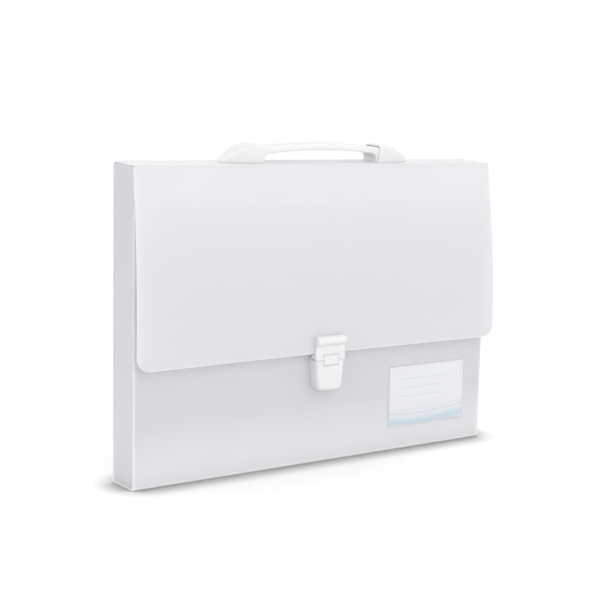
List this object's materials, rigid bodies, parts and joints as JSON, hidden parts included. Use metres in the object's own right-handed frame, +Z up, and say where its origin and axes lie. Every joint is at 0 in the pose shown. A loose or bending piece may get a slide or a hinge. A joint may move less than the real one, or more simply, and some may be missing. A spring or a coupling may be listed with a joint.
{
  "type": "document folder",
  "caption": "Rigid translucent plastic document carry case with a top handle, a long curved front flap, a push latch and a clear card pocket.",
  "frame": {"origin": "middle of the base that the case stands on, at table height", "axes": "+X along the case's width to the viewer's right, -Y towards the front with the latch, +Z up"},
  "size_m": [0.3866, 0.0505, 0.2832],
  "materials": {
    "clear_sheet": "milky translucent polypropylene sheet, faint fine emboss, satin",
    "white_moulding": "white injection moulded polypropylene, semi-gloss",
    "rivet_plastic": "white moulded rivets",
    "pocket_film": "clear glossy film",
    "card_paper": null
  },
  "bodies": {
    "case": {"body_wrap": "clear_sheet", "side_panel_left": "clear_sheet", "side_panel_right": "clear_sheet", "latch_keeper": "white_moulding", "keeper_backplate": "white_moulding", "keeper_rivets": "rivet_plastic", "card_pocket": "pocket_film", "name_card": "card_paper"},
    "lid": {"lid_strip": "clear_sheet", "handle_grip": "white_moulding", "handle_cap_left": "white_moulding", "handle_cap_right": "white_moulding", "handle_backplate_left": "white_moulding", "handle_backplate_right": "white_moulding", "handle_rivets": "rivet_plastic"},
    "flap": {"lid_flap": "clear_sheet", "latch_housing": "white_moulding", "latch_backplate": "white_moulding", "latch_rivets": "rivet_plastic"},
    "press_pad": {"press_pad": "white_moulding"}
  },
  "joints": [
    {"name": "lid_hinge", "type": "hinge", "parent": "case", "child": "lid", "pos_m": [0, 0.017, 0.2667], "axis": [-1, 0, 0], "range_deg": [0, 180]},
    {"name": "flap_hinge", "type": "hinge", "parent": "lid", "child": "flap", "pos_m": [0, -0.017, 0.2645], "axis": [-1, 0, 0], "range_deg": [0, 170]},
    {"name": "pad_press", "type": "slide", "parent": "flap", "child": "press_pad", "axis": [0, 1, 0], "range_m": [0, 0.0015], "stiffness_N_per_m": 600}
  ]
}
